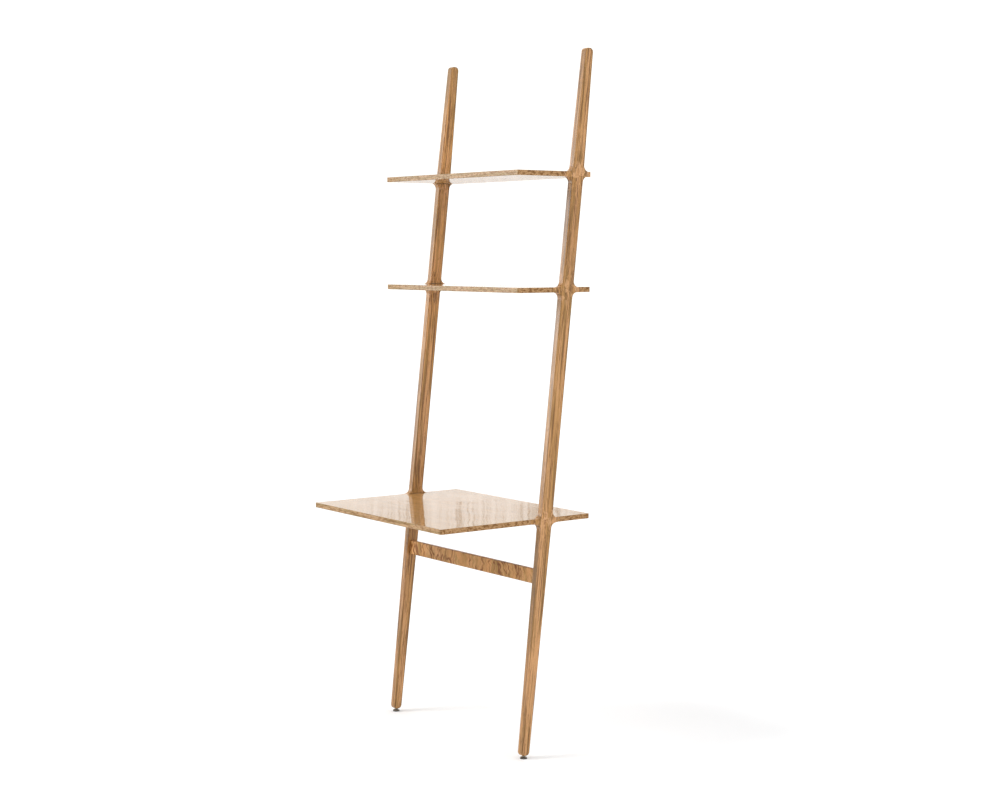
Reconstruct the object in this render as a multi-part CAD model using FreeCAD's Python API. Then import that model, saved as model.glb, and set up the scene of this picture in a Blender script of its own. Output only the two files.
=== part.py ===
"""Ladder desk: two leaning uprights, a desktop, two shelves, a cross rail and levelling glides.

Millimetres. The origin is on the floor, midway between the uprights and midway between the desktop's
front edge and the wall. +X is to the right, +Y towards the wall, +Z up.
"""
import FreeCAD, Part
import math
import os

# Overall
HEIGHT = 2176.0
DEPTH = 566.0
LEAN_DEG = 6.44

# Boards, named by the height of their top face
BOARD_LENGTH = 720.0
BOARD_THICKNESS = 16.0
DESK_TOP = 740.0
MIDDLE_SHELF_TOP = 1447.0
TOP_SHELF_TOP = 1800.0
SHELF_DEPTH = 280.0
BOARD_WALL_GAP = 2.0
BOARD_CORNER_RADIUS = 4.0
BOARD_ARRIS = 1.2

# Uprights: widths are measured from front to back
UPRIGHT_THICKNESS = 22.0
UPRIGHT_PROUD = 8.0
WAIST_WIDTH = 42.7
END_WIDTH = 29.4
END_RADIUS = 12.0
UPRIGHT_ARRIS = 2.0
FLARE_RADIUS = 18.0
HORN_REACH = 32.0
HORN_TIP_RADIUS = 2.5
HORN_TIP_THICKNESS = 0.8
FADE_START = 5.0
TONGUE_WIDTH = 36.0
TONGUE_DEPTH = 9.0

# Cross rail
RAIL_TOP = 580.0
RAIL_HEIGHT = 45.0
RAIL_THICKNESS = 20.0
RAIL_SETBACK = 12.0
RAIL_ARRIS = 2.0

# Dowels and cam connectors
BOARD_DOWEL_DIAMETER = 6.0
RAIL_DOWEL_DIAMETER = 8.0
DOWEL_LENGTH = 24.0
DOWEL_CHAMFER = 0.8
DOWEL_END_GAP = 0.5
BOARD_DOWEL_SPACING = 24.0
RAIL_DOWEL_SPACING = 28.0
CAM_DIAMETER = 15.0
CAM_OFFSET = 24.0
CAM_ABOVE_BOLT = 4.0
CAM_CHAMBER_DIAMETER = 9.0
CAM_CHAMBER_HEIGHT = 6.6
CAM_SLOT = 4.2
CAM_RECESS_LENGTH = 7.0
CAM_RECESS_WIDTH = 1.4
CAM_RECESS_DEPTH = 2.0
BOLT_THREAD_DIAMETER = 5.0
BOLT_THREAD_LENGTH = 11.0
BOLT_SHANK_DIAMETER = 6.0
BOLT_SHANK_LENGTH = 16.0
BOLT_NECK_DIAMETER = 3.5
BOLT_NECK_LENGTH = 6.0
BOLT_HEAD_DIAMETER = 6.0
BOLT_HEAD_LENGTH = 3.0
BOLT_BORE_DIAMETER = 7.0

# Levelling glides: heights are above the floor
GLIDE_GAP = 10.0
SOLE_DIAMETER = 22.0
SOLE_TOP = 3.2
PAD_DIAMETER = 22.0
PAD_TOP = 6.0
PAD_RIM_TOP = 4.7
PIVOT_DIAMETER = 6.0
RIVET_DIAMETER = 10.1
RIVET_TOP = 4.6
PLAY = 0.1
COLLAR_ACROSS_FLATS = 12.0
COLLAR_HEIGHT = 1.6
STEM_DIAMETER = 8.0
STEM_TOP = 34.0
STEM_CHAMFER = 0.8
INSERT_DIAMETER = 11.0
INSERT_BOTTOM = 10.6
INSERT_LENGTH = 18.0
THREAD_PLAY = 0.05
STEM_HOLE_DIAMETER = 9.0
STEM_HOLE_TOP = 38.0

# Keyhole hanger plates in the uprights' back edges
PLATE_HEIGHT_ABOVE_FLOOR = 2085.0
PLATE_LENGTH = 44.0
PLATE_WIDTH = 15.0
PLATE_THICKNESS = 2.0
KEYHOLE_DIAMETER = 9.0
KEYHOLE_DROP = 6.0
KEY_SLOT_WIDTH = 4.5
KEY_SLOT_RISE = 14.0
POCKET_WIDTH = 11.0
POCKET_DEPTH = 10.0
PLATE_SCREW_SPACING = 35.0
SCREW_DIAMETER = 3.0
SCREW_HEAD_DIAMETER = 5.6
SCREW_LENGTH = 16.0
SCREW_POINT_LENGTH = 3.0
SCREW_RECESS_LENGTH = 3.0
SCREW_RECESS_WIDTH = 0.8
SCREW_RECESS_DEPTH = 0.8

WALL = DEPTH / 2
BOARD_BACK = WALL - BOARD_WALL_GAP
DESK_DEPTH = BOARD_BACK + DEPTH / 2
OUTER_FACE = BOARD_LENGTH / 2 + UPRIGHT_PROUD
INNER_FACE = OUTER_FACE - UPRIGHT_THICKNESS
TONGUE_FACE = BOARD_LENGTH / 2 - TONGUE_DEPTH
OVERSHOOT = 1.0
MATCH = 1e-3
HEXAGON = 6

# Each board's top face height and depth
BOARDS = {
    "desktop": (DESK_TOP, DESK_DEPTH),
    "middle_shelf": (MIDDLE_SHELF_TOP, SHELF_DEPTH),
    "top_shelf": (TOP_SHELF_TOP, SHELF_DEPTH),
}

X_AXIS = FreeCAD.Vector(1, 0, 0)
Y_AXIS = FreeCAD.Vector(0, 1, 0)
Z_AXIS = FreeCAD.Vector(0, 0, 1)
CENTRE = FreeCAD.Vector(0, 0, 0)


# ---------------------------------------------------------------- the upright's side view

LEAN = math.tan(math.radians(LEAN_DEG))
BACK_EDGE_LEAN = LEAN - (WAIST_WIDTH - END_WIDTH) / 2 / (HEIGHT - TOP_SHELF_TOP)
BACK_EDGE_DEG = math.degrees(math.atan(BACK_EDGE_LEAN))


def tip_centre_y():
    """The centreline's place at full height, so that the rounded tip just touches the wall."""
    rounding = END_RADIUS * (1 / math.cos(math.atan(BACK_EDGE_LEAN)) - 1 + BACK_EDGE_LEAN)
    return WALL + rounding - END_WIDTH / 2


def centre_y(z):
    return tip_centre_y() - (HEIGHT - z) * LEAN


def half_width(z):
    """Half the upright's width: full between the desktop and the top shelf, tapering beyond them."""
    if z > TOP_SHELF_TOP:
        share = (HEIGHT - z) / (HEIGHT - TOP_SHELF_TOP)
    elif z < DESK_TOP:
        share = (z - GLIDE_GAP) / (DESK_TOP - GLIDE_GAP)
    else:
        share = 1.0
    return (END_WIDTH + (WAIST_WIDTH - END_WIDTH) * share) / 2


def edge_y(z, side):
    """The front edge (side -1) or back edge (side +1) of an upright."""
    return centre_y(z) + side * half_width(z)


def board_middle(top):
    return top - BOARD_THICKNESS / 2


def horn_tip_y(top, side):
    return edge_y(board_middle(top), side) + side * HORN_REACH


def node_corners(top, side):
    """The four corners of one horn, from the board's underside to its top face."""
    under = top - BOARD_THICKNESS
    tip = horn_tip_y(top, side)
    return [
        (edge_y(under, side), under, FLARE_RADIUS),
        (tip, under, HORN_TIP_RADIUS),
        (tip, top, HORN_TIP_RADIUS),
        (edge_y(top, side), top, FLARE_RADIUS),
    ]


def upright_corners():
    """Corners of the side view with their radii, up the front edge and down the back edge."""
    front = [(edge_y(GLIDE_GAP, -1), GLIDE_GAP, END_RADIUS)]
    back = [(edge_y(GLIDE_GAP, 1), GLIDE_GAP, END_RADIUS)]
    for top, _ in BOARDS.values():
        front += node_corners(top, -1)
        back += node_corners(top, 1)
    front.append((edge_y(HEIGHT, -1), HEIGHT, END_RADIUS))
    back.append((edge_y(HEIGHT, 1), HEIGHT, END_RADIUS))
    return front + back[::-1]


def rounded_wire(corners):
    """A closed wire of straight runs whose corners are rounded by tangent arcs."""
    points = [corner for corner, _ in corners]
    arcs = []
    for i, (corner, radius) in enumerate(corners):
        before = (points[i - 1] - corner).normalize()
        after = (points[(i + 1) % len(points)] - corner).normalize()
        half_angle = before.getAngle(after) / 2
        setback = radius / math.tan(half_angle)
        sagitta = radius / math.sin(half_angle) - radius
        middle = corner + (before + after).normalize() * sagitta
        arcs.append(Part.Arc(corner + before * setback, middle, corner + after * setback))
    edges = []
    for i, arc in enumerate(arcs):
        edges.append(arc.toShape())
        edges.append(Part.LineSegment(arc.EndPoint, arcs[(i + 1) % len(arcs)].StartPoint).toShape())
    return Part.Wire(edges)


# ---------------------------------------------------------------- small shape helpers

def box(x_range, y_range, z_range):
    size = [high - low for low, high in (x_range, y_range, z_range)]
    return Part.makeBox(*size, FreeCAD.Vector(x_range[0], y_range[0], z_range[0]))


def rod(diameter, length, start, direction):
    return Part.makeCylinder(diameter / 2, length, start, direction)


def mirrored(shape):
    return shape.mirror(CENTRE, X_AXIS)


def both_ends(shape):
    return [shape, mirrored(shape)]


def turned(shape, degrees, place):
    """Lean a shape made upright about its own origin back by some degrees, and put it in place."""
    moved = shape.copy()
    lean_back = FreeCAD.Placement(place, FreeCAD.Rotation(X_AXIS, -degrees))
    moved.Placement = lean_back.multiply(shape.Placement)
    return moved


def revolved(profile, place=CENTRE):
    """Revolve a closed (radius, height) profile about a vertical axis."""
    points = [FreeCAD.Vector(radius, 0, height) for radius, height in profile]
    face = Part.Face(Part.makePolygon(points + points[:1]))
    solid = face.revolve(CENTRE, Z_AXIS, 360)
    solid.translate(place)
    return solid


def slab(outline, thickness, direction):
    return Part.Face(outline).extrude(direction * thickness)


def arris_edges(solid, axis, levels):
    """The edges that lie wholly in the planes at the given levels along an axis."""
    picked = []
    for edge in solid.Edges:
        low = getattr(edge.BoundBox, axis + "Min")
        high = getattr(edge.BoundBox, axis + "Max")
        if any(abs(low - level) < MATCH and abs(high - level) < MATCH for level in levels):
            picked.append(edge)
    return picked


# ---------------------------------------------------------------- dowels and cam connectors
# Each is made at the origin for a joint face in the YZ plane, with the upright on its +X side.

def dowel(diameter, y=0.0, z=0.0):
    peg = rod(diameter, DOWEL_LENGTH, FreeCAD.Vector(-DOWEL_LENGTH / 2, y, z), X_AXIS)
    return peg.makeChamfer(DOWEL_CHAMFER, arris_edges(peg, "X", [-DOWEL_LENGTH / 2, DOWEL_LENGTH / 2]))


def dowel_bore(diameter, y=0.0, z=0.0):
    length = DOWEL_LENGTH + 2 * DOWEL_END_GAP
    return rod(diameter, length, FreeCAD.Vector(-length / 2, y, z), X_AXIS)


def cam_bolt():
    thread = rod(BOLT_THREAD_DIAMETER, BOLT_THREAD_LENGTH, CENTRE, X_AXIS)
    shank = rod(BOLT_SHANK_DIAMETER, BOLT_SHANK_LENGTH, CENTRE, -X_AXIS)
    neck_start = FreeCAD.Vector(-BOLT_SHANK_LENGTH, 0, 0)
    neck = rod(BOLT_NECK_DIAMETER, BOLT_NECK_LENGTH, neck_start, -X_AXIS)
    head_start = FreeCAD.Vector(-BOLT_SHANK_LENGTH - BOLT_NECK_LENGTH, 0, 0)
    head = rod(BOLT_HEAD_DIAMETER, BOLT_HEAD_LENGTH, head_start, -X_AXIS)
    return thread.fuse([shank, neck, head]).removeSplitter()


def cam_bolt_bores():
    in_upright = rod(BOLT_THREAD_DIAMETER, BOLT_THREAD_LENGTH, CENTRE, X_AXIS)
    in_board = rod(BOLT_BORE_DIAMETER, CAM_OFFSET, CENTRE, -X_AXIS)
    return in_upright, in_board


def cam_blank(bolt_depth):
    """The cam's cylinder, from the face it is let into to just past the bolt."""
    start = FreeCAD.Vector(-CAM_OFFSET, 0, -bolt_depth)
    return rod(CAM_DIAMETER, bolt_depth + CAM_ABOVE_BOLT, start, Z_AXIS)


def cam(bolt_depth):
    """A cam that grips the bolt's head, with a cross recess in the face that shows."""
    chamber_start = FreeCAD.Vector(-CAM_OFFSET, 0, -CAM_CHAMBER_HEIGHT / 2)
    chamber = rod(CAM_CHAMBER_DIAMETER, CAM_CHAMBER_HEIGHT, chamber_start, Z_AXIS)
    half_slot = CAM_SLOT / 2
    mouth = box((-CAM_OFFSET, 0), (-half_slot, half_slot), (-half_slot, half_slot))
    body = cam_blank(bolt_depth).cut([chamber, mouth])
    recess_z = (-bolt_depth, -bolt_depth + CAM_RECESS_DEPTH)
    long_half = CAM_RECESS_LENGTH / 2
    short_half = CAM_RECESS_WIDTH / 2
    for half_x, half_y in ((long_half, short_half), (short_half, long_half)):
        x_range = (-CAM_OFFSET - half_x, -CAM_OFFSET + half_x)
        body = body.cut(box(x_range, (-half_y, half_y), recess_z))
    return body


# ---------------------------------------------------------------- boards

def board_joint_place(top):
    z = board_middle(top)
    return FreeCAD.Vector(TONGUE_FACE, centre_y(z), z)


def at_board_joint(shape, top):
    moved = shape.copy()
    moved.translate(board_joint_place(top))
    return moved


def board_dowels(top, make):
    pegs = [make(BOARD_DOWEL_DIAMETER, y=side * BOARD_DOWEL_SPACING / 2) for side in (-1, 1)]
    return [at_board_joint(peg, top) for peg in pegs]


def board_slab(top, depth, reach):
    """A plain board whose ends lie at the given distance from the middle."""
    return box((-reach, reach), (BOARD_BACK - depth, BOARD_BACK), (top - BOARD_THICKNESS, top))


def tongue(top):
    """The part of the upright that is left standing in its housing, where dowels and bolt go in."""
    place = board_joint_place(top)
    y_range = (place.y - TONGUE_WIDTH / 2, place.y + TONGUE_WIDTH / 2)
    return box((TONGUE_FACE, BOARD_LENGTH / 2 + OVERSHOOT), y_range, (top - BOARD_THICKNESS, top))


def board(top, depth):
    """A board with eased edges, notched at each end round the upright's tongue and bored for its fixings."""
    reach = BOARD_LENGTH / 2
    front = BOARD_BACK - depth
    outline = [(-reach, front), (reach, front), (reach, BOARD_BACK), (-reach, BOARD_BACK)]
    corners = [(FreeCAD.Vector(x, y, top - BOARD_THICKNESS), BOARD_CORNER_RADIUS) for x, y in outline]
    body = slab(rounded_wire(corners), BOARD_THICKNESS, Z_AXIS)
    body = body.makeFillet(BOARD_ARRIS, arris_edges(body, "Z", [top - BOARD_THICKNESS, top]))
    cuts = [tongue(top)]
    cuts += board_dowels(top, dowel_bore)
    cuts.append(at_board_joint(cam_bolt_bores()[1], top))
    cuts.append(at_board_joint(cam_blank(BOARD_THICKNESS / 2), top))
    for cut in cuts:
        body = body.cut(both_ends(cut))
    return body


# ---------------------------------------------------------------- cross rail

def rail_place():
    """The rail joint's place: the middle of the rail's end, at the upright's inner face."""
    z = RAIL_TOP - RAIL_HEIGHT / 2
    y = edge_y(z, -1) + RAIL_SETBACK + RAIL_THICKNESS / 2
    return FreeCAD.Vector(INNER_FACE, y, z)


def at_rail_joint(shape):
    return turned(shape, LEAN_DEG, rail_place())


def rail_dowels(make):
    return [at_rail_joint(make(RAIL_DOWEL_DIAMETER, z=side * RAIL_DOWEL_SPACING / 2)) for side in (-1, 1)]


def rail_cam_shape(shape):
    """Turn a cam made with its face downwards so that its face is in the rail's back."""
    moved = shape.copy()
    moved.rotate(CENTRE, X_AXIS, 90)
    return at_rail_joint(moved)


def cross_rail():
    middle = rail_place()
    middle.x = 0
    half_height = RAIL_HEIGHT / 2
    half_thickness = RAIL_THICKNESS / 2
    bar = box((-INNER_FACE, INNER_FACE), (-half_thickness, half_thickness), (-half_height, half_height))
    long_edges = [edge for edge in bar.Edges if edge.BoundBox.XLength > INNER_FACE]
    bar = turned(bar.makeFillet(RAIL_ARRIS, long_edges), LEAN_DEG, middle)
    cuts = rail_dowels(dowel_bore)
    cuts.append(at_rail_joint(cam_bolt_bores()[1]))
    cuts.append(rail_cam_shape(cam_blank(half_thickness)))
    for cut in cuts:
        bar = bar.cut(both_ends(cut))
    return bar


# ---------------------------------------------------------------- keyhole hanger plates
# Made at the origin with the plate's back face in the XZ plane, +Y pointing at the wall.

def plate_place():
    return FreeCAD.Vector(INNER_FACE + UPRIGHT_THICKNESS / 2, edge_y(PLATE_HEIGHT_ABOVE_FLOOR, 1),
                          PLATE_HEIGHT_ABOVE_FLOOR)


def at_plate(shape):
    return turned(shape, BACK_EDGE_DEG, plate_place())


def stadium(width, low, high, front, back=0.0):
    """An upright slot shape with round ends, between two depths measured from the plate's back face."""
    radius = width / 2
    body = box((-radius, radius), (front, back), (low + radius, high - radius))
    for z in (low + radius, high - radius):
        body = body.fuse(rod(width, back - front, FreeCAD.Vector(0, back, z), -Y_AXIS))
    return body.removeSplitter()


def plate_screw_heights():
    return [-PLATE_SCREW_SPACING / 2, PLATE_SCREW_SPACING / 2]


def countersink(z):
    """The cone of a screw head whose flat face is flush with the plate's back."""
    top = SCREW_HEAD_DIAMETER / 2
    bottom = SCREW_DIAMETER / 2
    return Part.makeCone(top, bottom, top - bottom, FreeCAD.Vector(0, 0, z), -Y_AXIS)


def wall_plate():
    half = PLATE_LENGTH / 2
    plate = stadium(PLATE_WIDTH, -half, half, -PLATE_THICKNESS)
    hole = rod(KEYHOLE_DIAMETER, PLATE_THICKNESS, FreeCAD.Vector(0, 0, -KEYHOLE_DROP), -Y_AXIS)
    slot = stadium(KEY_SLOT_WIDTH, -KEYHOLE_DROP, KEY_SLOT_RISE - KEYHOLE_DROP, -PLATE_THICKNESS)
    plate = plate.cut([hole, slot])
    for z in plate_screw_heights():
        shank = rod(SCREW_DIAMETER, PLATE_THICKNESS, FreeCAD.Vector(0, 0, z), -Y_AXIS)
        plate = plate.cut([shank, countersink(z)])
    return at_plate(plate)


def plate_recess():
    """What is cut from the wood for a plate: its seat, and a pocket for the wall screw's head."""
    half = PLATE_LENGTH / 2
    seat = stadium(PLATE_WIDTH, -half, half, -PLATE_THICKNESS, OVERSHOOT)
    pocket_low = -KEYHOLE_DROP - POCKET_WIDTH / 2
    pocket = stadium(POCKET_WIDTH, pocket_low, KEY_SLOT_RISE - KEYHOLE_DROP, -POCKET_DEPTH)
    return at_plate(seat.fuse(pocket).removeSplitter())


def plate_screw(z):
    """A countersunk screw with a pointed end and a cross recess."""
    straight = SCREW_LENGTH - SCREW_POINT_LENGTH
    shank = rod(SCREW_DIAMETER, straight, FreeCAD.Vector(0, 0, z), -Y_AXIS)
    point_start = FreeCAD.Vector(0, -straight, z)
    point = Part.makeCone(SCREW_DIAMETER / 2, 0, SCREW_POINT_LENGTH, point_start, -Y_AXIS)
    screw = shank.fuse([point, countersink(z)]).removeSplitter()
    long_half = SCREW_RECESS_LENGTH / 2
    short_half = SCREW_RECESS_WIDTH / 2
    for half_x, half_z in ((long_half, short_half), (short_half, long_half)):
        z_range = (z - half_z, z + half_z)
        screw = screw.cut(box((-half_x, half_x), (-SCREW_RECESS_DEPTH, 0), z_range))
    return at_plate(screw)


def plate_screws():
    return [plate_screw(z) for z in plate_screw_heights()]


# ---------------------------------------------------------------- levelling glides

def glide_place():
    return FreeCAD.Vector(INNER_FACE + UPRIGHT_THICKNESS / 2, centre_y(INSERT_BOTTOM + INSERT_LENGTH / 2), 0)


def glide_sole():
    return rod(SOLE_DIAMETER, SOLE_TOP, glide_place(), Z_AXIS)


def glide_pad():
    """A disc with a domed rim, bored for the stem's pivot and recessed below for its riveted end."""
    profile = [
        (PIVOT_DIAMETER / 2 + THREAD_PLAY, RIVET_TOP + PLAY),
        (RIVET_DIAMETER / 2 + PLAY, RIVET_TOP + PLAY),
        (RIVET_DIAMETER / 2 + PLAY, SOLE_TOP),
        (PAD_DIAMETER / 2, SOLE_TOP),
        (PAD_DIAMETER / 2, PAD_RIM_TOP),
        (COLLAR_ACROSS_FLATS / 2 + PLAY, PAD_TOP),
        (PIVOT_DIAMETER / 2 + THREAD_PLAY, PAD_TOP),
    ]
    return revolved(profile, glide_place())


def glide_stem():
    """The threaded stem: riveted pivot in the pad, hexagon collar to turn it by, and shank."""
    collar_bottom = PAD_TOP + PLAY
    collar_top = collar_bottom + COLLAR_HEIGHT
    profile = [
        (0, SOLE_TOP + PLAY),
        (RIVET_DIAMETER / 2, SOLE_TOP + PLAY),
        (RIVET_DIAMETER / 2, RIVET_TOP),
        (PIVOT_DIAMETER / 2, RIVET_TOP),
        (PIVOT_DIAMETER / 2, collar_bottom),
        (STEM_DIAMETER / 2, collar_bottom),
        (STEM_DIAMETER / 2, STEM_TOP - STEM_CHAMFER),
        (STEM_DIAMETER / 2 - STEM_CHAMFER, STEM_TOP),
        (0, STEM_TOP),
    ]
    stem = revolved(profile, glide_place())
    corner_radius = COLLAR_ACROSS_FLATS / 2 / math.cos(math.pi / HEXAGON)
    corners = []
    for i in range(HEXAGON + 1):
        angle = 2 * math.pi * i / HEXAGON
        offset = FreeCAD.Vector(math.cos(angle), math.sin(angle), 0) * corner_radius
        corners.append(glide_place() + offset + Z_AXIS * collar_bottom)
    collar = slab(Part.makePolygon(corners), COLLAR_HEIGHT, Z_AXIS)
    chamfer_cone = revolved([
        (0, collar_bottom),
        (corner_radius + COLLAR_HEIGHT, collar_bottom),
        (COLLAR_ACROSS_FLATS / 2, collar_top),
        (0, collar_top),
    ], glide_place())
    return stem.fuse(collar.common(chamfer_cone)).removeSplitter()


def threaded_insert():
    inner = STEM_DIAMETER / 2 + THREAD_PLAY
    outer = INSERT_DIAMETER / 2
    top = INSERT_BOTTOM + INSERT_LENGTH
    profile = [(inner, INSERT_BOTTOM), (outer, INSERT_BOTTOM), (outer, top), (inner, top)]
    return revolved(profile, glide_place())


def glide_bores():
    place = glide_place()
    insert_hole = rod(INSERT_DIAMETER, INSERT_BOTTOM + INSERT_LENGTH, place, Z_AXIS)
    stem_hole = rod(STEM_HOLE_DIAMETER, STEM_HOLE_TOP, place, Z_AXIS)
    return [insert_hole, stem_hole]


# ---------------------------------------------------------------- uprights

def fade_cutter(top, side):
    """Takes the outer face of a horn down in an S-curve, from flush at the post to a thin tip."""
    start = edge_y(board_middle(top), side) + side * FADE_START
    run = HORN_REACH - FADE_START
    drop = UPRIGHT_PROUD - HORN_TIP_THICKNESS
    radius = (run ** 2 + drop ** 2) / (4 * drop)
    half_turn = math.asin(run / 2 / radius) / 2
    low = top - BOARD_THICKNESS - FLARE_RADIUS
    height = BOARD_THICKNESS + 2 * FLARE_RADIUS

    def point(along, inward):
        return FreeCAD.Vector(OUTER_FACE - inward, start + side * along, low)

    along = radius * math.sin(half_turn)
    inward = radius * (1 - math.cos(half_turn))
    convex = Part.Arc(point(0, 0), point(along, inward), point(run / 2, drop / 2))
    concave = Part.Arc(point(run / 2, drop / 2), point(run - along, drop - inward), point(run, drop))
    corners = [point(run, drop), point(run + OVERSHOOT, drop), point(run + OVERSHOOT, -OVERSHOOT),
               point(0, -OVERSHOOT), point(0, 0)]
    outline = Part.Wire([convex.toShape(), concave.toShape()] + Part.makePolygon(corners).Edges)
    return slab(outline, height, Z_AXIS)


def housing(top, depth):
    """The slot for a board's end, which leaves a tongue standing in its middle."""
    return board_slab(top, depth, BOARD_LENGTH / 2).cut(tongue(top))


def right_upright():
    corners = [(FreeCAD.Vector(INNER_FACE, y, z), radius) for y, z, radius in upright_corners()]
    body = slab(rounded_wire(corners), UPRIGHT_THICKNESS, X_AXIS)
    body = body.makeFillet(UPRIGHT_ARRIS, arris_edges(body, "X", [INNER_FACE, OUTER_FACE]))
    for top, depth in BOARDS.values():
        body = body.cut([fade_cutter(top, side) for side in (-1, 1)])
        body = body.cut(housing(top, depth))
        body = body.cut(board_dowels(top, dowel_bore))
        body = body.cut(at_board_joint(cam_bolt_bores()[0], top))
    body = body.cut(rail_dowels(dowel_bore))
    body = body.cut(at_rail_joint(cam_bolt_bores()[0]))
    body = body.cut(glide_bores())
    body = body.cut(plate_recess())
    return body.cut(plate_screws())


# ---------------------------------------------------------------- the whole desk

def paired(shapes):
    """A group of shapes at the right end with their mirror images at the left end."""
    return Part.makeCompound([copy for shape in shapes for copy in both_ends(shape)])


def all_nodes():
    nodes = {}
    upright = right_upright()
    nodes["right_upright"] = upright
    nodes["left_upright"] = mirrored(upright)
    for name, (top, depth) in BOARDS.items():
        nodes[name] = board(top, depth)
        nodes[name + "_dowels"] = paired(board_dowels(top, dowel))
        nodes[name + "_cams"] = paired([at_board_joint(cam(BOARD_THICKNESS / 2), top)])
        nodes[name + "_cam_bolts"] = paired([at_board_joint(cam_bolt(), top)])
    nodes["cross_rail"] = cross_rail()
    nodes["cross_rail_dowels"] = paired(rail_dowels(dowel))
    nodes["cross_rail_cams"] = paired([rail_cam_shape(cam(RAIL_THICKNESS / 2))])
    nodes["cross_rail_cam_bolts"] = paired([at_rail_joint(cam_bolt())])
    one_side = {
        "wall_plate": wall_plate(),
        "wall_plate_screws": Part.makeCompound(plate_screws()),
        "foot_insert": threaded_insert(),
        "glide_stem": glide_stem(),
        "glide_pad": glide_pad(),
        "glide_sole": glide_sole(),
    }
    for name, shape in one_side.items():
        nodes["right_" + name] = shape
        nodes["left_" + name] = mirrored(shape)
    return nodes


os.makedirs("parts", exist_ok=True)
for node_name, node_shape in all_nodes().items():
    node_shape.exportStep("parts/" + node_name + ".step")
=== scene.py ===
"""The ladder desk's looks: lacquered oak, its hidden fittings and its levelling glides.

Metres, in the same frame as the solids: +X right, +Y towards the wall, +Z up, the floor at z = 0.
"""
import bmesh
import bpy
import math
from mathutils import Euler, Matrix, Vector


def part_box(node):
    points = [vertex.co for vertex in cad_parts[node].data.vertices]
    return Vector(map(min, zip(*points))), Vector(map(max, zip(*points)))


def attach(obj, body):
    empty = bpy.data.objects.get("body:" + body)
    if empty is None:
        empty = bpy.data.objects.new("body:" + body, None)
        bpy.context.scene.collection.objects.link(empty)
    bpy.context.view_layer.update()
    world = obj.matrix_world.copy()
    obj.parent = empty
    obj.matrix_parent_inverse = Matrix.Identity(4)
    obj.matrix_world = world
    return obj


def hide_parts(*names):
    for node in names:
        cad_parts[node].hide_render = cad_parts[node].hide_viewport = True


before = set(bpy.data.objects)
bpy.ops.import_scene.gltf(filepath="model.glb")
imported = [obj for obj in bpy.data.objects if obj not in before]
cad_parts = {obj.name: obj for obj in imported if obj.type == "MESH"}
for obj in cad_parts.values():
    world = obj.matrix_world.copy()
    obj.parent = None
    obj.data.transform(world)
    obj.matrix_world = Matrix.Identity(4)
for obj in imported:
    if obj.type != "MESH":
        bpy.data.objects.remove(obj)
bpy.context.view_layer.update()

MM = 0.001
SIDES = ("left", "right")
BOARDS = ("desktop", "middle_shelf", "top_shelf")
LEAN = math.radians(6.44)

# Glide stems: heights are above the floor, and the thread's crest and root are radii. The cone that
# chamfers the collar starts outside its corners.
RIVET_RADIUS = 5.05 * MM
RIVET_ROUND = 0.6 * MM
RIVET_TOP = 4.6 * MM
PIVOT_RADIUS = 3.0 * MM
COLLAR_BOTTOM = 6.1 * MM
COLLAR_TOP = 7.7 * MM
COLLAR_ACROSS_FLATS = 12.0 * MM
CONE_BEYOND_CORNERS = 1.6 * MM
CONE_STEPS = 6
NECK = 0.7 * MM
THREAD_PITCH = 1.25 * MM
THREAD_CREST = 3.99 * MM
THREAD_ROOT = 3.3 * MM
THREAD_STEEPNESS = 1.25
THREAD_ROOT_FLAT = 0.1
ROWS_PER_TURN = 8
STEPS_ROUND = 48
SHARP_FROM = math.radians(32)

# Oak under lacquer, as sRGB; each set of tones is light, warm, cool and dark
OLIVE = (141, 107, 52)
BROWN = (108, 72, 32)
DARK = (108, 66, 20)
# the brown of the painted shade on edges and front faces
PAINTED_SHADE = (74, 58, 36)
KNOT = (96, 42, 20)
PINKISH = (202, 148, 98)
PALE = (222, 172, 126)
END_EDGE = (182, 146, 108)
FRONT_EDGE = (184, 157, 127)
FRONT_EDGE_DULL = (150, 136, 104)
RAIL_ORANGE = (208, 152, 96)
RAIL_VEIN = (112, 64, 22)
BEECH = (214, 176, 132)
BEECH_DARK = (186, 142, 98)
POST_TONES = ((188, 140, 80), (212, 160, 108), OLIVE, BROWN)
RAIL_TONES = ((196, 150, 94), (208, 160, 110), (168, 134, 76), (140, 98, 50))
BOARD_TONES = ((172, 130, 74), (180, 136, 82), (162, 122, 66), (140, 102, 52))

# Lacquers, how dark their edges are painted as shade, and how boldly marked the wood under them is
POST_LACQUER = {
    "roughness": 0.42,
    "specular": 0.3,
    "coat": 0.2,  # on faces that look up
    "edge_coat": 0.2,  # on upright faces
    "under_coat": 0.2,  # on faces that look down
    "coat_roughness": 0.28,
    "relief": 0.35,  # of fibres, pores and rings
    "wave": 0.3 * MM,  # in the coat
    "edge_shade_reach": 6.0 * MM,
    "shade_and_wear": 0.9,
    "edge_shade_kept": 0.15,  # share of the painted edge shade on front right and back left edges
    "marks": 1.0,
}
BOARD_LACQUER = {
    "roughness": 0.35,
    "specular": 0.05,
    "coat": 0.95,
    "edge_coat": 0.1,
    "under_coat": 0.6,
    "coat_roughness": 0.04,
    "relief": 0.25,
    "wave": 0.5 * MM,
    "edge_shade_reach": 2.0 * MM,
    "shade_and_wear": 0.5,
    "edge_shade_kept": 1.0,
    "marks": 0.45,
}
RAIL_LACQUER = {
    **POST_LACQUER,
    "specular": 0.1,
    "coat": 0.05,
    "edge_coat": 0.05,
    "under_coat": 0.05,
    "edge_shade_reach": 3.0 * MM,
    "shade_and_wear": 0.7,
    "marks": 0.4,
}
ROUGHNESS_SPREAD = 0.05

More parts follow.
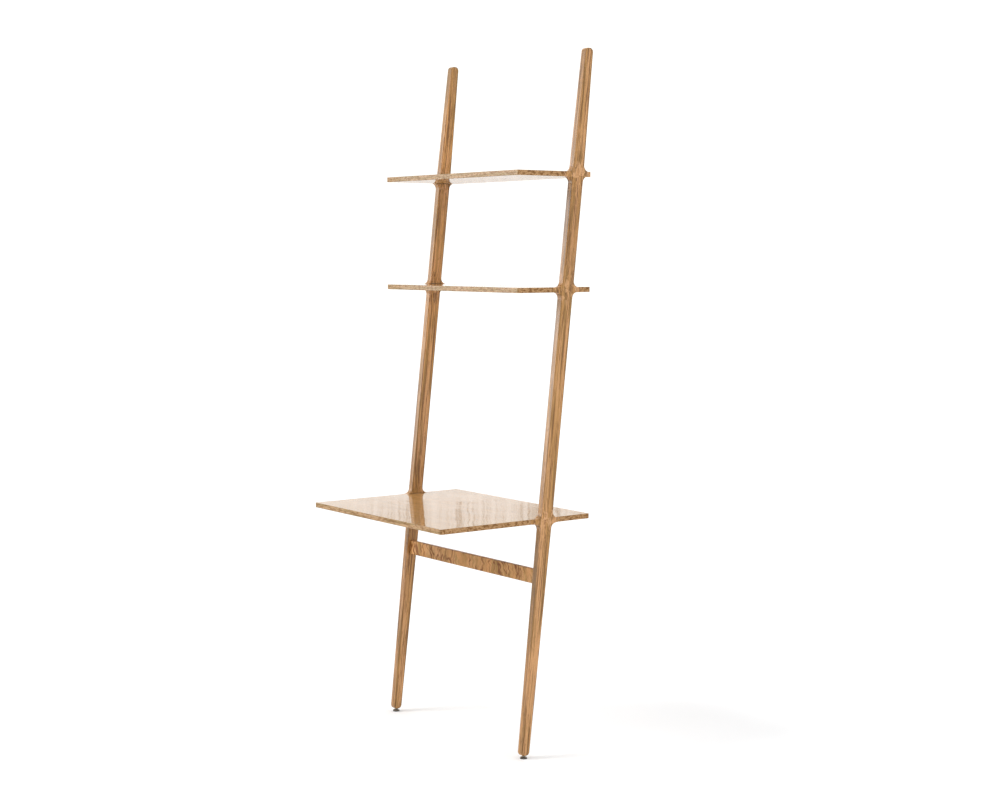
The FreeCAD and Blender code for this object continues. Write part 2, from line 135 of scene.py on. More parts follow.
# The grain of each piece: a seed, and beside the rail's a shift, so that no two look alike; and the pith
# line that its growth rings go round, in grain coordinates. A board's pith lies below it, some way back.
UPRIGHT_SEEDS = {"left": 3.0, "right": 43.0}
UPRIGHT_SHIFTS = {"left": 0.0, "right": 5.0}
UPRIGHT_PITHS = {"left": (-0.30, 0.12, 0.0), "right": (0.42, -0.10, 0.0)}
BOARD_SEEDS = {"desktop": 7.0, "middle_shelf": 37.0, "top_shelf": 67.0}
BOARD_SHIFTS = {"desktop": 0.0, "middle_shelf": 3.0, "top_shelf": 6.0}
BOARD_PITH_BELOW = 0.09
BOARD_PITHS_BACK = {"desktop": 0.06, "middle_shelf": 0.09, "top_shelf": 0.12}
RAIL_SEED = 91.0
RAIL_PITH = (0.9, 0.3, 0.0)
RING_SPACING = 4.2 * MM
RING_WOBBLE = 14 * MM
RING_TAPER = 0.012

# Each upright's knots, as places and radii, and the stretch of it that is lighter or darker, as its two
# heights and what it multiplies the colour by
KNOTS = {"left": (((-0.350, 0.068, 0.598), 6 * MM), ((-0.352, 0.066, 0.572), 5 * MM)), "right": ()}
SHADES = {"left": (1.15, 2.05, (1.20, 1.18, 1.10)), "right": (1.49, 1.76, (0.84, 0.82, 0.80))}
SHADE_SOFTNESS = 80 * MM

# How far the grain strays from straight, and how much the rail's leans over
NODE_SWIRL = 26 * MM
POST_SWIRL = 2 * MM
BOARD_BEND = 30 * MM
RAIL_SWAY = 46 * MM
RAIL_SLOPE = 0.35

# How far a node's swirl and its marks reach from a board's middle height, and how far from the post's
# middle line the post gives way to a horn
NODE_MIDDLE = 12 * MM
SWIRL_REACH = 90 * MM
MARKED_REACH = 60 * MM
HORN_ROOTS = (24 * MM, 32 * MM)

# Metals and rubber, as sRGB
ZINC = (186, 186, 184)
ZINC_DULL = (138, 139, 140)
STEEL = (170, 170, 168)
STEEL_DULL = (120, 120, 120)
BRASS = (196, 164, 98)
BRASS_DULL = (140, 112, 62)
NICKEL = (150, 142, 130)
NICKEL_DULL = (96, 90, 80)
RUBBER = (26, 26, 27)
RUBBER_DUSTY = (56, 55, 53)

# The studio
FLOOR_RADIUS = 40.0
FLOOR_CORNERS = 96
FLOOR_WHITE = (236, 238, 242)
WHITE = (1.0, 0.985, 0.955)

# The backdrop's creases: folds to a radian and to a unit of height, and the patch that the desktop mirrors
# to the camera, as ramps in height on the unit sphere and in bearing. Its left end is faint.
FOLDS = (330.0, 6.0, 1.0)
BACKDROP_STRENGTHS = (1.16, 1.24)
CREASE_TINT = (1.0, 0.88, 0.74)
CREASE_DEPTH = 0.9
CREASE_HEIGHTS = ((0.137, 0.143), (0.165, 0.18))
CREASE_BEARINGS = ((2.42, 2.44), (2.62, 2.64))
FAINT_BEARINGS = (2.57, 2.60)
FAINT = 0.2

# The window panel and the sun
WINDOW_PLACE = (-2.9, -2.5, 1.95)
WINDOW_TARGET = (0.3, 0.0, 1.6)
WINDOW_SIZE = (1.3, 2.1)
WINDOW_POWER = 82
WINDOW_TINT = (1.0, 0.98, 0.97)
SUN_FROM = (-0.36, -0.70, 0.62)
SUN_STRENGTH = 1.2
SUN_ANGLE = math.radians(20)

# The camera, as fitted to the photograph; lens and sensor are in millimetres, as Blender has them
CAMERA_PLACE = (4.651, -3.247, 1.556)
CAMERA_TILT = math.radians(85.158)
CAMERA_TURN = math.radians(53.453)
LENS = 64.405
SENSOR_WIDTH = 36.0


# ---------------------------------------------------------------- building blocks for materials

def linear(colour):
    """An 8-bit sRGB colour as the linear RGBA that Blender's sockets take."""
    channels = []
    for value in colour:
        share = value / 255
        channels.append(share / 12.92 if share <= 0.04045 else ((share + 0.055) / 1.055) ** 2.4)
    return (*channels, 1.0)


class Graph:
    """The node tree of one material, or of the world."""

    def __init__(self, owner, shader):
        owner.use_nodes = True
        self.tree = owner.node_tree
        self.shader = self.tree.nodes[shader]
        self.coordinates = self.node("TexCoord")
        self.place = self.coordinates.outputs["Object"]
        self.normal = self.coordinates.outputs["Normal"]

    def node(self, kind, **settings):
        node = self.tree.nodes.new("ShaderNode" + kind)
        for key, value in settings.items():
            setattr(node, key, value)
        return node

    def feed(self, socket, value):
        """Link a socket to another node's output, or set its plain value."""
        if isinstance(value, bpy.types.NodeSocket):
            self.tree.links.new(value, socket)
        else:
            socket.default_value = value

    def set(self, **values):
        """Set the shader's own sockets, by names with underscores for spaces."""
        for name, value in values.items():
            self.feed(self.shader.inputs[name.replace("_", " ")], value)

    def math(self, operation, *values):
        node = self.node("Math", operation=operation)
        for socket, value in zip(node.inputs, values):
            self.feed(socket, value)
        return node.outputs[0]

    def plus(self, first, second):
        return self.math("ADD", first, second)

    def minus(self, first, second):
        return self.math("SUBTRACT", first, second)

    def times(self, first, second):
        return self.math("MULTIPLY", first, second)

    def absolute(self, value):
        return self.math("ABSOLUTE", value)

    def vector_math(self, operation, *values, output="Vector"):
        node = self.node("VectorMath", operation=operation)
        for socket, value in zip(node.inputs, values):
            self.feed(socket, value)
        return node.outputs[output]

    def squares(self):
        """The squares of the surface normal's three parts, which add up to 1."""
        return [self.times(part, part) for part in self.separate(self.normal)]

    def separate(self, vector):
        node = self.node("SeparateXYZ")
        self.feed(node.inputs[0], vector)
        return node.outputs

    def combine(self, x, y, z):
        node = self.node("CombineXYZ")
        for socket, value in zip(node.inputs, (x, y, z)):
            self.feed(socket, value)
        return node.outputs[0]

    def mapped(self, vector, scale=(1, 1, 1), shift=(0, 0, 0), turn=(0, 0, 0)):
        node = self.node("Mapping")
        self.feed(node.inputs["Vector"], vector)
        self.feed(node.inputs["Scale"], scale)
        self.feed(node.inputs["Location"], shift)
        self.feed(node.inputs["Rotation"], turn)
        return node.outputs[0]

    def noise(self, vector, detail=2.0, roughness=0.5, distortion=0.0, colour=False):
        node = self.node("TexNoise")
        self.feed(node.inputs["Vector"], vector)
        self.feed(node.inputs["Scale"], 1.0)
        self.feed(node.inputs["Detail"], detail)
        self.feed(node.inputs["Roughness"], roughness)
        self.feed(node.inputs["Distortion"], distortion)
        return node.outputs["Color" if colour else "Fac"]

    def remap(self, value, low, high, to_low=0.0, to_high=1.0):
        node = self.node("MapRange", interpolation_type="SMOOTHSTEP")
        for socket, number in zip(node.inputs, (value, low, high, to_low, to_high)):
            self.feed(socket, number)
        return node.outputs[0]

    def between(self, value, rise, fall):
        """1 between two ramps, each given by its two ends, and 0 beyond them."""
        return self.times(self.remap(value, *rise), self.remap(value, *fall, 1.0, 0.0))

    def cells(self, scale, shift=(0, 0, 0), **look):
        """Noise all through a piece, with scale cells to a metre along each axis."""
        return self.noise(self.mapped(self.place, scale=scale, shift=shift), **look)

    def patches(self, scale, start, full, least=0.0, most=1.0, **look):
        """Soft patches: least where the noise is below start, and most where it is above full."""
        return self.remap(self.cells(scale, **look), start, full, least, most)

    def mix(self, share, first, second, blend="MIX"):
        node = self.node("Mix", data_type="RGBA", blend_type=blend)
        self.feed(node.inputs[0], share)
        self.feed(node.inputs[6], first)
        self.feed(node.inputs[7], second)
        return node.outputs[2]

    def bump(self, height, depth, strength=1.0):
        node = self.node("Bump")
        self.feed(node.inputs["Strength"], strength)
        self.feed(node.inputs["Distance"], depth)
        self.feed(node.inputs["Height"], height)
        return node.outputs[0]


def new_material(name):
    material = bpy.data.materials.new(name)
    return material, Graph(material, "Principled BSDF")


# ---------------------------------------------------------------- oak

def stretched(graph, grain, seed, across, along):
    """Noise coordinates for marks of a given size across and along the grain, which runs up Z."""
    shift = (seed, seed * 1.7, seed * 2.3)
    return graph.mapped(grain, scale=(1 / across, 1 / across, 1 / along), shift=shift)


def marks(graph, grain, seed, across, along, start, full, most=1.0, **look):
    """Marks along the grain: 0 where the noise is below start, and most where it is above full."""
    noise = graph.noise(stretched(graph, grain, seed, across, along), **look)
    return graph.remap(noise, start, full, 0.0, most)


def ridge(graph, noise, width):
    """Thin lines where a noise crosses its middle value."""
    return graph.remap(graph.absolute(graph.minus(noise, 0.5)), 0.0, width, 1.0, 0.0)


def rings(graph, grain, pith, seed):
    """Growth rings about a pith line beside the piece: 0 in early wood, 1 at each ring's dark edge."""
    slow = stretched(graph, grain, seed, across=40 * MM, along=500 * MM)
    wobble = graph.noise(slow, detail=3, roughness=0.6, colour=True)
    wobble = graph.vector_math("SUBTRACT", wobble, (0.5, 0.5, 0.5))
    wobble = graph.vector_math("MULTIPLY", wobble, (RING_WOBBLE, RING_WOBBLE, 0))
    from_pith = graph.vector_math("SUBTRACT", graph.vector_math("ADD", grain, wobble), pith)
    drawn_out = graph.vector_math("MULTIPLY", from_pith, (1, 1, RING_TAPER))
    distance = graph.vector_math("LENGTH", drawn_out, output="Value")
    within_ring = graph.math("FRACT", graph.math("DIVIDE", distance, RING_SPACING))
    return graph.between(within_ring, rise=(0.35, 0.9), fall=(0.93, 1.0))


def painted_edge_shade(graph, lacquer, arris, core):
    """How dark each edge is painted as shade, patch by patch: an edge is near where rounding would turn
    the normal.
    """
    rounded = graph.node("Bevel", samples=6)
    graph.feed(rounded.inputs["Radius"], lacquer["edge_shade_reach"])
    plain = graph.node("NewGeometry").outputs["Normal"]
    alike = graph.vector_math("DOT_PRODUCT", rounded.outputs[0], plain, output="Value")
    near_edge = graph.remap(graph.minus(1.0, alike), 0.008, 0.10)
    # x times y is below zero where an edge faces front right or back left
    x, y, z = graph.separate(rounded.outputs[0])
    kept = graph.remap(graph.times(x, y), -0.25, 0.0, lacquer["edge_shade_kept"], 1.0)
    edge = graph.times(graph.math("MAXIMUM", near_edge, arris(graph)), kept)
    if core is not None:
        edge = graph.times(edge, core(graph))
    shade_and_wear = lacquer["shade_and_wear"]
    patchy = graph.patches((26, 26, 26), start=0.3, full=0.6, least=0.5 * shade_and_wear, most=shade_and_wear, detail=3)
    return graph.times(edge, patchy)


def coat_weight(graph, lacquer):
    """The clear coat's weight: one value for the piece, or one for each way that a face looks."""
    if lacquer["coat"] == lacquer["edge_coat"] == lacquer["under_coat"]:
        return lacquer["coat"]
    up = graph.separate(graph.normal)[2]
    above = graph.remap(up, 0.55, 0.95, lacquer["edge_coat"], lacquer["coat"])
    below = graph.remap(up, -0.95, -0.55, lacquer["under_coat"] - lacquer["edge_coat"], 0.0)
    return graph.plus(above, below)


def oak(name, grain_of, seed, tones, pith, lacquer, figure, arris, core=None):
    """Lacquered oak. grain_of turns the graph's place into coordinates whose Z runs along the grain."""
    material, graph = new_material(name)
    grain = grain_of(graph)
    light, warm, cool, dark = [linear(tone) for tone in tones]
    bold = lacquer["marks"]

    broad = marks(graph, grain, seed, across=12 * MM, along=420 * MM, start=0.42, full=0.58, detail=3,
                  roughness=0.55)
    colour = graph.mix(broad, light, warm)
    drift = marks(graph, grain, seed + 11, across=9 * MM, along=260 * MM, start=0.50, full=0.60, most=0.85)
    colour = graph.mix(drift, colour, cool)
    growth = rings(graph, grain, pith, seed + 23)
    colour = graph.mix(graph.times(growth, 0.4), colour, dark)
    streaks = marks(graph, grain, seed + 31, across=4.5 * MM, along=240 * MM, start=0.52, full=0.60,
                    most=0.95 * bold, detail=4, roughness=0.62)
    colour = graph.mix(streaks, colour, dark)
    dashes = marks(graph, grain, seed + 37, across=3 * MM, along=42 * MM, start=0.58, full=0.68,
                   most=0.9 * bold, detail=3, roughness=0.6)
    colour = graph.mix(dashes, colour, linear(DARK))
    colour = figure(graph, grain, colour)
    fine = stretched(graph, grain, seed + 41, across=0.9 * MM, along=60 * MM)
    fibre = graph.noise(fine, detail=3, roughness=0.7)
    colour = graph.mix(graph.remap(fibre, 0.3, 0.7, 0.0, 0.25 * bold), colour, linear(DARK))
    pores = marks(graph, grain, seed + 53, across=0.55 * MM, along=9 * MM, start=0.60, full=0.70, detail=1)
    colour = graph.mix(graph.times(pores, 0.42), colour, linear(DARK))
    # Painted shade: the edges darkened in patches.
    colour = graph.mix(painted_edge_shade(graph, lacquer, arris, core), colour, linear(PAINTED_SHADE))
    graph.set(Base_Color=colour)

    smoothest = lacquer["roughness"] - ROUGHNESS_SPREAD
    roughest = lacquer["roughness"] + ROUGHNESS_SPREAD
    rough = graph.patches((9, 9, 9), start=0.3, full=0.7, least=smoothest, most=roughest, detail=3)
    graph.set(Roughness=graph.plus(rough, graph.times(pores, 0.12)))
    graph.set(IOR=1.5, Specular_IOR_Level=lacquer["specular"])
    graph.set(Coat_IOR=1.5, Coat_Roughness=lacquer["coat_roughness"])
    graph.set(Coat_Weight=coat_weight(graph, lacquer))
    relief = graph.minus(graph.times(fibre, 0.35), pores)
    relief = graph.minus(relief, graph.times(growth, 0.25))
    graph.set(Normal=graph.bump(relief, 0.05 * MM, strength=lacquer["relief"]))
    graph.set(Coat_Normal=graph.bump(graph.cells((6, 6, 6), detail=1), lacquer["wave"]))
    return material


# ---------------------------------------------------------------- the uprights' oak

def middle_height(node):
    low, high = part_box(node)
    return (low.z + high.z) / 2


def swell_of(graph, reach):
    """1 at the boards' heights, where a post swells, and 0 at the given reach from them."""
    height = graph.separate(graph.place)[2]
    swell = 0.0
    for board in BOARDS:
        away = graph.absolute(graph.minus(height, middle_height(board)))
        swell = graph.math("MAXIMUM", graph.remap(away, NODE_MIDDLE, reach, 1.0, 0.0), swell)
    return swell


def upright_grain(shift):
    """Grain up the leaning post, which swirls where the post swells at each board."""
    def build(graph):
        upright = graph.mapped(graph.place, turn=(LEAN, 0, 0))
        swirl = graph.cells((11, 13, 10), shift=(shift, 3, shift), detail=1, colour=True)
        swirl = graph.vector_math("SUBTRACT", swirl, (0.5, 0.5, 0.5))
        pull = graph.plus(graph.times(swell_of(graph, SWIRL_REACH), NODE_SWIRL), POST_SWIRL)
        scaled = graph.node("VectorMath", operation="SCALE")
        graph.feed(scaled.inputs[0], swirl)
        graph.feed(scaled.inputs["Scale"], pull)
        return graph.vector_math("ADD", upright, scaled.outputs[0])
    return build


def post_arris(graph):
    """1 on the rounded edges between a post's faces."""
    square = graph.squares()[0]
    edge = graph.times(graph.times(square, 4.0), graph.minus(1.0, square))
    return graph.remap(edge, 0.15, 0.8)


def post_core(graph):
    """1 in the post itself, 0 out on the thin horns that run along the boards."""
    low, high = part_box("left_foot_insert")
    middle = (low + high) / 2
    x, y, z = graph.separate(graph.place)
    rise = graph.times(graph.minus(z, middle.z), math.tan(LEAN))
    away = graph.absolute(graph.minus(graph.minus(y, middle.y), rise))
    return graph.remap(away, *HORN_ROOTS, 1.0, 0.0)


def knot(graph, centre, radius):
    """1 inside a small round mark that is drawn out along the post."""
    away = graph.vector_math("MULTIPLY", graph.vector_math("SUBTRACT", graph.place, centre), (1, 1, 0.6))
    distance = graph.vector_math("LENGTH", away, output="Value")
    return graph.remap(distance, radius * 0.5, radius, 1.0, 0.0)


def shaded(graph, colour, low, high, gain):
    """The colour made lighter or darker between two heights, with soft ends."""
    height = graph.separate(graph.place)[2]
    rise = (low - SHADE_SOFTNESS, low + SHADE_SOFTNESS)
    fall = (high - SHADE_SOFTNESS, high + SHADE_SOFTNESS)
    return graph.mix(graph.between(height, rise, fall), colour, (*gain, 1.0), blend="MULTIPLY")


def post_figure(side):
    """Pinkish patches, front faces darkened as painted shade, and pale and crooked marks where a node's
    short grain shows.
    """
    def paint(graph, grain, colour):
        colour = shaded(graph, colour, *SHADES[side])
        pink = graph.patches((30, 60, 22), start=0.58, full=0.72, most=0.45, detail=3, roughness=0.6)
        colour = graph.mix(pink, colour, linear(PINKISH))
        swell = swell_of(graph, MARKED_REACH)
        pale = graph.patches((60, 75, 50), start=0.54, full=0.60, shift=(4, 1, 8), distortion=0.8)
        colour = graph.mix(graph.times(graph.times(pale, swell), 0.6), colour, linear(PALE))
        crooked = ridge(graph, graph.cells((44, 48, 17), shift=(9, 5, 2), distortion=0.4), width=0.022)
        colour = graph.mix(graph.times(graph.times(crooked, swell), 0.26), colour, linear(DARK))
        # Painted shade: the front faces darkened.
        front = graph.squares()[1]
        colour = graph.mix(graph.times(front, 0.27), colour, linear(PAINTED_SHADE))
        for centre, radius in KNOTS[side]:
            colour = graph.mix(graph.times(knot(graph, centre, radius), 0.85), colour, linear(KNOT))
        return colour
    return paint


# ---------------------------------------------------------------- the boards' and the rail's oak

def board_grain(shift):
    """Grain along the board's length."""
    def build(graph):
        x, y, z = graph.separate(graph.place)
        warp = graph.cells((3, 9, 9), shift=(shift, 0, 0), detail=1)
        bend = graph.times(graph.minus(warp, 0.5), BOARD_BEND)
        return graph.combine(z, graph.plus(y, bend), x)
    return build


def board_arris(graph):
    """1 on the eased edges and corners of a board."""
    x, y, z = graph.squares()
    most = graph.math("MAXIMUM", graph.math("MAXIMUM", x, y), z)
    return graph.remap(graph.minus(1.0, most), 0.12, 0.5)


def board_figure(graph, grain, colour):
    """Darker, dotted end grain and a two-toned long edge; the broad faces stay pale."""
    end, front, up = graph.squares()
    colour = graph.mix(graph.times(end, 0.8), colour, linear(END_EDGE))
    layers = graph.patches((9, 9, 170), start=0.44, full=0.56)
    tone = graph.mix(layers, linear(FRONT_EDGE), linear(FRONT_EDGE_DULL))
    colour = graph.mix(graph.times(front, 0.7), colour, tone)
    marked = graph.plus(end, graph.times(front, 0.7))
    clouds = graph.patches((55, 75, 160), start=0.48, full=0.60, most=0.75)
    colour = graph.mix(graph.times(clouds, marked), colour, linear(BROWN))
    dots = graph.patches((180, 180, 500), start=0.51, full=0.62, most=0.8, detail=3, roughness=0.6)
    return graph.mix(graph.times(dots, marked), colour, linear(DARK))


def rail_grain(graph):
    """Grain that runs across the rail in slow waves."""
    x, y, z = graph.separate(graph.place)
    sway = graph.cells((9, 9, 34), shift=(1, 4, 2))
    bend = graph.times(graph.minus(sway, 0.5), RAIL_SWAY)
    slope = graph.times(z, RAIL_SLOPE)
    return graph.combine(graph.plus(x, graph.plus(bend, slope)), y, graph.times(z, 2.0))


def rail_figure(graph, grain, colour):
    """Dark lines that cross the rail, with orange and olive patches between them."""
    orange = graph.patches((22, 14, 10), start=0.50, full=0.60, most=0.6, detail=3)
    colour = graph.mix(orange, colour, linear(RAIL_ORANGE))
    olive = graph.patches((19, 14, 9), start=0.52, full=0.62, most=0.4, shift=(7, 2, 5))
    colour = graph.mix(olive, colour, linear(OLIVE))
    veins = ridge(graph, graph.noise(graph.mapped(grain, scale=(40, 9, 5)), roughness=0.55), width=0.05)
    bold = graph.patches((15, 5, 30), start=0.34, full=0.50, least=0.45, shift=(3, 9, 1))
    return graph.mix(graph.times(veins, bold), colour, linear(RAIL_VEIN))


# ---------------------------------------------------------------- beech, metal and rubber

def beech(name):
    """Plain beech with short flecks along its grain."""
    material, graph = new_material(name)
    x, y, z = graph.separate(graph.place)
    along_x = stretched(graph, graph.combine(z, y, x), seed=3, across=0.7 * MM, along=6 * MM)
    flecks = graph.noise(along_x, detail=3)
    graph.set(Base_Color=graph.mix(graph.remap(flecks, 0.4, 0.65), linear(BEECH), linear(BEECH_DARK)))
    graph.set(Roughness=graph.remap(flecks, 0.3, 0.7, 0.55, 0.72), IOR=1.45)
    graph.set(Normal=graph.bump(flecks, 0.05 * MM, strength=0.6))
    return material


def metal(name, bright, dull, roughness, brushed):
    """Plated or turned metal, dulled in clouds, with fine tool marks that brushed draws out."""
    material, graph = new_material(name)
    clouds = graph.cells((180, 180, 180), detail=4, roughness=0.6)
    graph.set(Base_Color=graph.mix(graph.remap(clouds, 0.4, 0.7), linear(bright), linear(dull)))
    graph.set(Metallic=1.0)
    scratches = graph.cells(brushed)
    shade_and_wear = graph.plus(graph.times(clouds, 0.18), graph.times(scratches, 0.12))
    graph.set(Roughness=graph.plus(shade_and_wear, roughness - 0.15))
    graph.set(Normal=graph.bump(scratches, 0.02 * MM, strength=0.5))
    return material


def rubber(name):
    """Dark rubber, dusty in patches and most of all just above the floor."""
    material, graph = new_material(name)
    dust = graph.cells((260, 260, 260), detail=5, roughness=0.65)
    low = graph.remap(graph.separate(graph.place)[2], 0.0, 1.2 * MM, 0.7, 0.0)
    share = graph.times(graph.remap(dust, 0.4, 0.7), graph.plus(low, 0.2))
    graph.set(Base_Color=graph.mix(share, linear(RUBBER), linear(RUBBER_DUSTY)))
    graph.set(Roughness=graph.remap(dust, 0.3, 0.7, 0.62, 0.85), IOR=1.5)
    graph.set(Normal=graph.bump(dust, 0.04 * MM, strength=0.5))
    return material


# ---------------------------------------------------------------- which solid wears what

def dress(node, material):
    """Give a solid its material, in place of the plain one that it came with."""
    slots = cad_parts[node].data.materials
    slots.clear()
    slots.append(material)


def dress_oak():
    for side in SIDES:
        material = oak(f"oak_{side}_upright", upright_grain(UPRIGHT_SHIFTS[side]), UPRIGHT_SEEDS[side],
                       POST_TONES, UPRIGHT_PITHS[side], POST_LACQUER, post_figure(side), post_arris,
                       core=post_core)
        dress(side + "_upright", material)
    for board in BOARDS:
        pith = (middle_height(board) - BOARD_PITH_BELOW, BOARD_PITHS_BACK[board], 0.0)
        material = oak(f"oak_{board}", board_grain(BOARD_SHIFTS[board]), BOARD_SEEDS[board],
                       BOARD_TONES, pith, BOARD_LACQUER, board_figure, board_arris)
        dress(board, material)
    material = oak("oak_cross_rail", rail_grain, RAIL_SEED,
                   RAIL_TONES, RAIL_PITH, RAIL_LACQUER, rail_figure, board_arris)
    dress("cross_rail", material)


def dress_joints():
    dowel = beech("beech_dowel")
    cam = metal("zinc_cam", ZINC, ZINC_DULL, roughness=0.38, brushed=(900, 900, 900))
    bolt = metal("steel_cam_bolt", STEEL, STEEL_DULL, roughness=0.3, brushed=(60, 1800, 1800))
    for node in BOARDS + ("cross_rail",):
        dress(node + "_dowels", dowel)
        dress(node + "_cams", cam)
        dress(node + "_cam_bolts", bolt)


def dress_fittings():
    plate = metal("steel_wall_plate", STEEL, STEEL_DULL, roughness=0.34, brushed=(1500, 80, 80))
    screw = metal("steel_plate_screw", ZINC, STEEL_DULL, roughness=0.28, brushed=(1500, 1500, 1500))
    insert = metal("brass_insert", BRASS, BRASS_DULL, roughness=0.3, brushed=(90, 90, 2400))
    pad = metal("nickel_glide_pad", NICKEL, NICKEL_DULL, roughness=0.22, brushed=(70, 70, 1600))
    stem = metal("steel_glide_stem", NICKEL, STEEL_DULL, roughness=0.26, brushed=(90, 90, 1800))
    sole = rubber("rubber_glide_sole")
    for side in SIDES:
        dress(side + "_wall_plate", plate)
        dress(side + "_wall_plate_screws", screw)
        dress(side + "_foot_insert", insert)
        dress(side + "_glide_pad", pad)
        glide_stem(side, stem)
        dress(side + "_glide_sole", sole)


# ---------------------------------------------------------------- threaded glide stems

def add_to_scene(name, data):
    piece = bpy.data.objects.new(name, data)
    bpy.context.scene.collection.objects.link(piece)
    return piece


def ringed(name, centre, rows):
    """A closed mesh of rings about a plumb axis; each row is a height and the radius at a given angle."""
    angles = [math.tau * i / STEPS_ROUND for i in range(STEPS_ROUND)]
    points = []
    for height, radius in rows:
        for angle in angles:
            reach = radius(angle)
            points.append((centre.x + reach * math.cos(angle), centre.y + reach * math.sin(angle), height))
    faces = [tuple(reversed(range(STEPS_ROUND)))]
    for start in range(0, len(points) - STEPS_ROUND, STEPS_ROUND):
        above = start + STEPS_ROUND
        for i in range(STEPS_ROUND):
            after = (i + 1) % STEPS_ROUND
            faces.append((start + i, start + after, above + after, above + i))
    faces.append(tuple(range(len(points) - STEPS_ROUND, len(points))))
    mesh = bpy.data.meshes.new(name)
    mesh.from_pydata(points, [], faces)
    mesh.shade_smooth()
    mesh.set_sharp_from_angle(angle=SHARP_FROM)
    return add_to_scene(name, mesh)


def steady(radius):
    return lambda angle: radius


def hexagon(limit):
    """The collar's radius, turned down to a limit where its corners are chamfered."""
    def radius(angle):
        off_flat = (angle % (math.pi / 3)) - math.pi / 6
        return min(COLLAR_ACROSS_FLATS / 2 / math.cos(off_flat), limit)
    return radius


def thread(height, limit):
    """The radius of the right-hand thread at a height, cut down to a limit where it runs out."""
    def radius(angle):
        phase = (height / THREAD_PITCH - angle / math.tau) % 1.0
        flank = (0.5 - abs(phase - 0.5)) / 0.5 * THREAD_STEEPNESS - THREAD_ROOT_FLAT
        return min(THREAD_ROOT + (THREAD_CREST - THREAD_ROOT) * min(max(flank, 0.0), 1.0), limit)
    return radius


def collar_rows():
    """A hexagon all the way up, inside a cone that narrows from beyond its corners to its flats."""
    flat = COLLAR_ACROSS_FLATS / 2
    corner = flat / math.cos(math.pi / 6)
    rows = []
    for i in range(CONE_STEPS + 1):
        share = i / CONE_STEPS
        height = COLLAR_BOTTOM + (COLLAR_TOP - COLLAR_BOTTOM) * share
        limit = flat + (corner + CONE_BEYOND_CORNERS - flat) * (1 - share)
        rows.append((height, hexagon(limit)))
    return rows


def thread_rows(start, top):
    """The thread from start to top, which rises out of its root and runs out again at 45 degrees."""
    count = round((top - start) / (THREAD_PITCH / ROWS_PER_TURN))
    rows = []
    for i in range(1, count + 1):
        height = start + (top - start) * i / count
        limit = min(THREAD_ROOT + (height - start), THREAD_ROOT + (top - height))
        rows.append((height, thread(height, limit)))
    return rows


def glide_stem(side, material):
    """Riveted pivot, hexagon collar and M8 thread in one piece, on the plain stem's own place and size."""
    low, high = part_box(side + "_glide_stem")
    rows = [(low.z, steady(RIVET_RADIUS - RIVET_ROUND)), (low.z + RIVET_ROUND / 2, steady(RIVET_RADIUS)),
            (RIVET_TOP, steady(RIVET_RADIUS)), (RIVET_TOP, steady(PIVOT_RADIUS)),
            (COLLAR_BOTTOM, steady(PIVOT_RADIUS))]
    rows += collar_rows()
    rows += [(COLLAR_TOP, steady(THREAD_ROOT)), (COLLAR_TOP + NECK, steady(THREAD_ROOT))]
    rows += thread_rows(COLLAR_TOP + NECK, high.z)
    piece = ringed(side + "_threaded_stem", (low + high) / 2, rows)
    piece.data.materials.append(material)
    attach(piece, side + "_screw")
    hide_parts(side + "_glide_stem")


# ---------------------------------------------------------------- stage, light and camera

def floor():
    mesh = bpy.data.meshes.new("studio_floor")
    shape = bmesh.new()
    bmesh.ops.create_circle(shape, cap_ends=True, radius=FLOOR_RADIUS, segments=FLOOR_CORNERS)
    shape.to_mesh(mesh)
    shape.free()
    material, graph = new_material("studio_floor")
    graph.set(Base_Color=linear(FLOOR_WHITE), Roughness=0.9, Specular_IOR_Level=0.1)
    mesh.materials.append(material)
    add_to_scene("studio_floor", mesh)


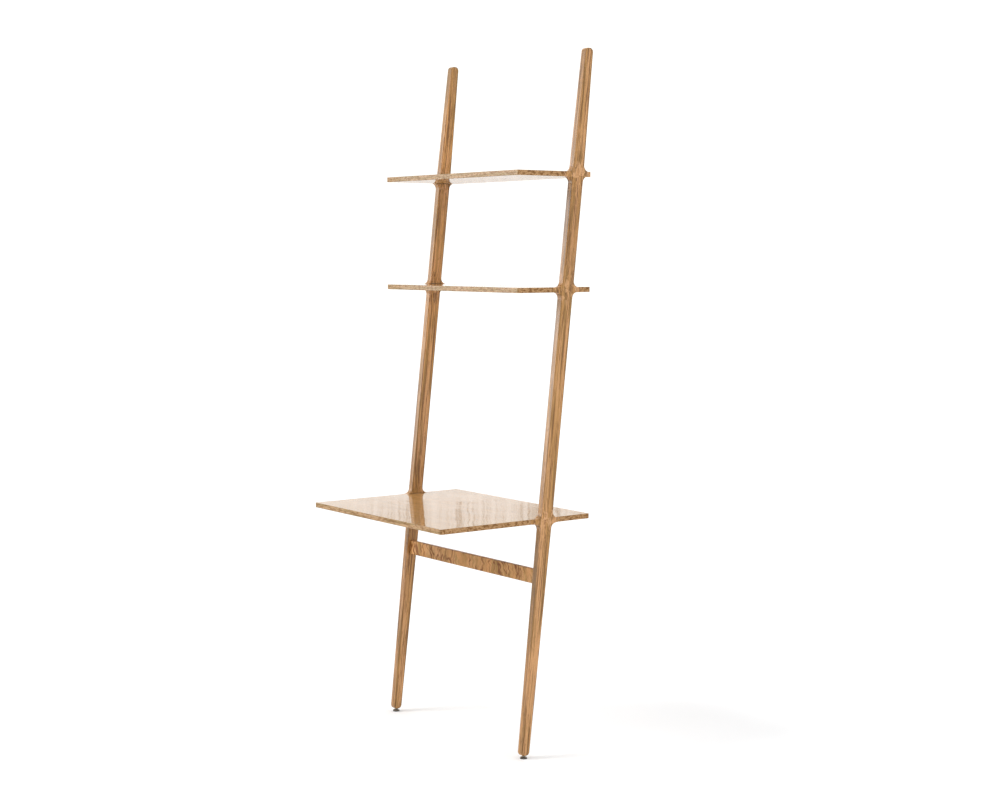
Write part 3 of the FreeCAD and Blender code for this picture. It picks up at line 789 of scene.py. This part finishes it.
def backdrop():
    """White all round, with creases as in hung paper, in a patch that the desktop mirrors."""
    world = bpy.data.worlds.new("studio")
    graph = Graph(world, "Background")
    x, y, z = graph.separate(graph.coordinates.outputs["Generated"])
    bearing = graph.math("ARCTAN2", y, x)
    across = graph.mapped(graph.combine(bearing, z, 0.0), scale=FOLDS)
    folds = graph.noise(across)
    slow = graph.noise(graph.mapped(across, scale=(0.2, 1.0, 1.0)), detail=1)
    creases = graph.times(ridge(graph, folds, 0.05), graph.remap(slow, 0.4, 0.6, 0.3, 1.0))
    tall = graph.between(z, *CREASE_HEIGHTS)
    wide = graph.between(bearing, *CREASE_BEARINGS)
    creases = graph.times(creases, graph.times(tall, wide))
    creases = graph.times(creases, graph.remap(bearing, *FAINT_BEARINGS, 1.0, FAINT))
    graph.set(Color=graph.mix(creases, (*WHITE, 1.0), (*CREASE_TINT, 1.0)))
    bright = graph.remap(folds, 0.4, 0.6, *BACKDROP_STRENGTHS)
    graph.set(Strength=graph.minus(bright, graph.times(creases, CREASE_DEPTH)))
    bpy.context.scene.world = world


def window_light():
    """A tall soft panel at the front left, which only gloss picks up."""
    data = bpy.data.lights.new("window", "AREA")
    data.shape = "RECTANGLE"
    data.size, data.size_y = WINDOW_SIZE
    data.energy = WINDOW_POWER
    data.color = WINDOW_TINT
    light = add_to_scene("window", data)
    light.location = WINDOW_PLACE
    aim = Vector(WINDOW_TARGET) - Vector(WINDOW_PLACE)
    light.rotation_euler = aim.to_track_quat("-Z", "Y").to_euler()
    light.visible_camera = False
    light.visible_diffuse = False


def sun():
    data = bpy.data.lights.new("key", "SUN")
    data.energy = SUN_STRENGTH
    data.angle = SUN_ANGLE
    data.color = WHITE
    add_to_scene("key", data).rotation_euler = Vector(SUN_FROM).to_track_quat("Z", "Y").to_euler()


def camera():
    data = bpy.data.cameras.new("camera")
    data.lens = LENS
    data.sensor_width = SENSOR_WIDTH
    eye = add_to_scene("camera", data)
    eye.location = CAMERA_PLACE
    eye.rotation_euler = Euler((CAMERA_TILT, 0.0, CAMERA_TURN))
    bpy.context.scene.camera = eye


dress_oak()
dress_joints()
dress_fittings()
floor()
backdrop()
window_light()
sun()
camera()
bpy.context.scene.view_settings.view_transform = "Standard"
